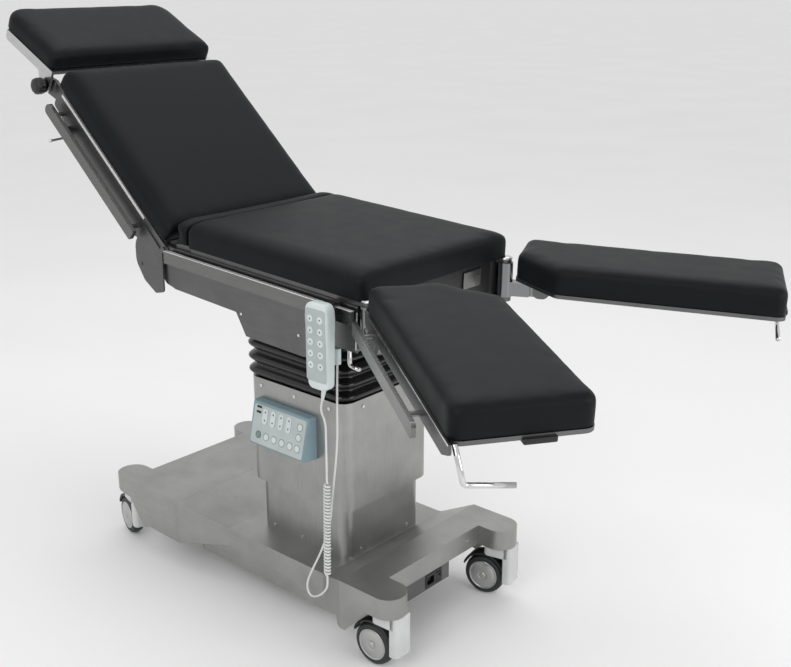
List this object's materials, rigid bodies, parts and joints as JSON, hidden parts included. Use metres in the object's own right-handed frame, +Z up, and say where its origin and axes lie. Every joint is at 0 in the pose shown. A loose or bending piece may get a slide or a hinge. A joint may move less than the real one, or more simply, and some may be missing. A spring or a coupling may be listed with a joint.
{
  "type": "operating table",
  "caption": "Mobile operating table: stainless lift column on casters, tilting seat, raised back and head sections, two leg sections that swing out and fold down, corded handset.",
  "frame": {"origin": "on the floor, below the tilt centre at the middle of the column", "axes": "+X towards the leg sections, +Y away from the handset side, +Z up"},
  "size_m": [1.8527, 1.0824, 1.3615],
  "materials": {
    "bellows": "matte",
    "black": "satin",
    "casting": "satin",
    "chassis": "satin",
    "chrome": "polished",
    "cord": "satin",
    "disc": "satin",
    "film": "satin",
    "frame": "satin",
    "handset": "satin",
    "panel": "satin",
    "rail": "satin",
    "ram": "polished",
    "steel": "satin",
    "tyre": "matte",
    "vinyl": "satin",
    "yoke": "satin"
  },
  "bodies": {
    "base": {"base_casing": "steel", "base_chassis": "chassis", "column_casing": "steel", "lift_cylinder": "ram", "inlet_box": "steel", "inlet_socket": "black", "base_screws": "chrome"},
    "switch": {"mains_switch": "black"},
    "lift": {"column_sleeve": "steel", "lift_ram": "ram", "cardan_base": "casting", "control_panel": "panel", "panel_keys": "film", "bellows": "bellows", "sleeve_screws": "chrome"},
    "cross": {"cardan_cross": "frame"},
    "seat": {"seat_frame": "frame", "side_covers": "steel", "seat_rails": "rail", "seat_pad": "vinyl", "pendant": "handset", "pendant_keys": "film", "pendant_hook": "rail", "pendant_relief": "cord", "cord_coil": "cord", "cord_ends": "cord", "cord_connector": "handset"},
    "kidney": {"kidney_bridge": "frame", "kidney_pad": "vinyl"},
    "back": {"back_frame": "frame", "back_rails": "rail", "back_pad": "vinyl", "hinge_covers": "steel"},
    "back_release": {"back_lever": "chrome"},
    "head": {"head_frame": "frame", "head_pad": "vinyl"},
    "knob": {"head_knob": "black"},
    "swivel_FL": {"caster_fork_FL": "yoke"},
    "wheel_FL": {"caster_tyre_FL": "tyre", "caster_disc_FL": "disc"},
    "swivel_FR": {"caster_fork_FR": "yoke"},
    "wheel_FR": {"caster_tyre_FR": "tyre", "caster_disc_FR": "disc"},
    "swivel_RL": {"caster_fork_RL": "yoke"},
    "wheel_RL": {"caster_tyre_RL": "tyre", "caster_disc_RL": "disc"},
    "swivel_RR": {"caster_fork_RR": "yoke"},
    "wheel_RR": {"caster_tyre_RR": "tyre", "caster_disc_RR": "disc"},
    "post_near": {"leg_post_near": "chrome"},
    "leg_near": {"leg_frame_near": "frame", "leg_rail_near": "rail", "leg_pad_near": "vinyl"},
    "handle_near": {"leg_handle_near": "chrome"},
    "post_far": {"leg_post_far": "chrome"},
    "leg_far": {"leg_frame_far": "frame", "leg_rail_far": "rail", "leg_pad_far": "vinyl"},
    "handle_far": {"leg_handle_far": "chrome"}
  },
  "joints": [
    {"name": "lift", "type": "slide", "parent": "base", "child": "lift", "axis": [0, 0, 1], "range_m": [-0.11, 0.13]},
    {"name": "trendelenburg", "type": "hinge", "parent": "lift", "child": "cross", "pos_m": [0, 0, 0.65], "axis": [0, -1, 0], "range_deg": [-22.5, 27.5], "deforming": ["bellows"]},
    {"name": "lateral_tilt", "type": "hinge", "parent": "cross", "child": "seat", "pos_m": [0, 0, 0.65], "axis": [0.999, 0, -0.0436], "range_deg": [-18, 18], "deforming": ["pendant_relief", "cord_coil", "cord_ends"]},
    {"name": "kidney_lift", "type": "slide", "parent": "seat", "child": "kidney", "axis": [0.0436, 0, 0.999], "range_m": [0, 0.05]},
    {"name": "back_hinge", "type": "hinge", "parent": "seat", "child": "back", "pos_m": [-0.3161, 0, 0.83797], "axis": [0, -1, 0], "range_deg": [-26, 54]},
    {"name": "back_release_turn", "type": "hinge", "parent": "back", "child": "back_release", "pos_m": [-0.66742, -0.25, 1.06868], "axis": [0.6626, 0, 0.749], "range_deg": [-30, 30]},
    {"name": "head_hinge", "type": "hinge", "parent": "back", "child": "head", "pos_m": [-0.745, 0, 1.1787], "axis": [0, 1, 0], "range_deg": [-75, 20]},
    {"name": "head_knob_turn", "type": "hinge", "parent": "head", "child": "knob", "pos_m": [-0.745, -0.26, 1.1787], "axis": [0, 1, 0], "continuous": true},
    {"name": "leg_spread_near", "type": "hinge", "parent": "seat", "child": "post_near", "pos_m": [0.306, -0.226, 0.784], "axis": [0, 0, -1], "range_deg": [-32.5, 25.5]},
    {"name": "leg_pitch_near", "type": "hinge", "parent": "post_near", "child": "leg_near", "pos_m": [0.37193, -0.27131, 0.764], "axis": [0.5664, 0.8241, 0], "range_deg": [-15, 85.8]},
    {"name": "leg_release_near", "type": "hinge", "parent": "leg_near", "child": "handle_near", "pos_m": [0.78844, -0.56364, 0.75671], "axis": [0.0604, -0.0415, 0.9973], "range_deg": [-40, 40]},
    {"name": "leg_spread_far", "type": "hinge", "parent": "seat", "child": "post_far", "pos_m": [0.306, 0.226, 0.784], "axis": [0, 0, 1], "range_deg": [-24, 64]},
    {"name": "leg_pitch_far", "type": "hinge", "parent": "post_far", "child": "leg_far", "pos_m": [0.3779, 0.26107, 0.764], "axis": [-0.4384, 0.8988, 0], "range_deg": [-15, 88.3]},
    {"name": "leg_release_far", "type": "hinge", "parent": "leg_far", "child": "handle_far", "pos_m": [0.8329, 0.48855, 0.77892], "axis": [0.0267, 0.013, 0.9996], "range_deg": [-40, 40]},
    {"name": "mains_switch_rock", "type": "hinge", "parent": "base", "child": "switch", "pos_m": [0.289, 0.0095, 0.1215], "axis": [0, 1, 0], "range_deg": [-5, 5]},
    {"name": "swivel_turn_FL", "type": "hinge", "parent": "base", "child": "swivel_FL", "pos_m": [0.333, 0.2, 0.15], "axis": [0, 0, 1], "continuous": true},
    {"name": "wheel_spin_FL", "type": "hinge", "parent": "swivel_FL", "child": "wheel_FL", "pos_m": [0.29876, 0.19272, 0.05], "axis": [-0.2079, 0.9781, 0], "continuous": true},
    {"name": "swivel_turn_FR", "type": "hinge", "parent": "base", "child": "swivel_FR", "pos_m": [0.333, -0.2, 0.15], "axis": [0, 0, 1], "continuous": true},
    {"name": "wheel_spin_FR", "type": "hinge", "parent": "swivel_FR", "child": "wheel_FR", "pos_m": [0.29802, -0.20122, 0.05], "axis": [-0.0349, 0.9994, 0], "continuous": true},
    {"name": "swivel_turn_RL", "type": "hinge", "parent": "base", "child": "swivel_RL", "pos_m": [-0.568, 0.2, 0.15], "axis": [0, 0, 1], "continuous": true},
    {"name": "wheel_spin_RL", "type": "hinge", "parent": "swivel_RL", "child": "wheel_RL", "pos_m": [-0.60266, 0.20487, 0.05], "axis": [0.1392, 0.9903, 0], "continuous": true},
    {"name": "swivel_turn_RR", "type": "hinge", "parent": "base", "child": "swivel_RR", "pos_m": [-0.568, -0.2, 0.15], "axis": [0, 0, 1], "continuous": true},
    {"name": "wheel_spin_RR", "type": "hinge", "parent": "swivel_RR", "child": "wheel_RR", "pos_m": [-0.60181, -0.19094, 0.05], "axis": [0.2588, 0.9659, 0], "continuous": true}
  ]
}
